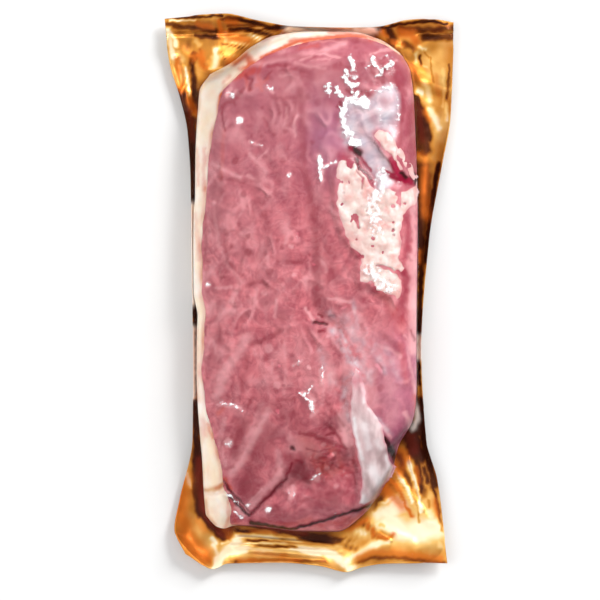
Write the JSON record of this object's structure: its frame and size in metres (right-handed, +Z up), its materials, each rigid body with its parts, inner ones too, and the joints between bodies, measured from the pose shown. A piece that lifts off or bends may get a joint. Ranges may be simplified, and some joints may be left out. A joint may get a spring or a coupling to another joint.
{
  "type": "vacuum-packed duck breast",
  "caption": "Raw duck breast, flesh side up, sealed under clear film in a flat pouch with a gold foil back.",
  "frame": {"origin": "centre of the pack's box in plan, at the surface that the pack lies on", "axes": "+Y along the pack towards its wide, folded upper end, +X to the right seen from above, +Z up, out of the flesh side"},
  "size_m": [0.1243, 0.2394, 0.0287],
  "materials": {
    "gold_foil": "gold lacquered aluminium laminate, bright and crumpled",
    "skin_fat": "raw fat, stands in as a soft plastic",
    "breast_lean": "raw lean meat, moist, stands in as a soft plastic",
    "fat_patch": "white fat, stands in as a soft plastic",
    "tendon": "silvery sinew, stands in as a soft plastic",
    "clear_film": "clear glossy film, drawn tight with fine wrinkles"
  },
  "bodies": {
    "root": {"foil_back": "gold_foil", "skin_fat": "skin_fat", "breast_lean": "breast_lean", "fat_patch": "fat_patch", "tendon": "tendon", "clear_film": "clear_film"}
  },
  "joints": []
}
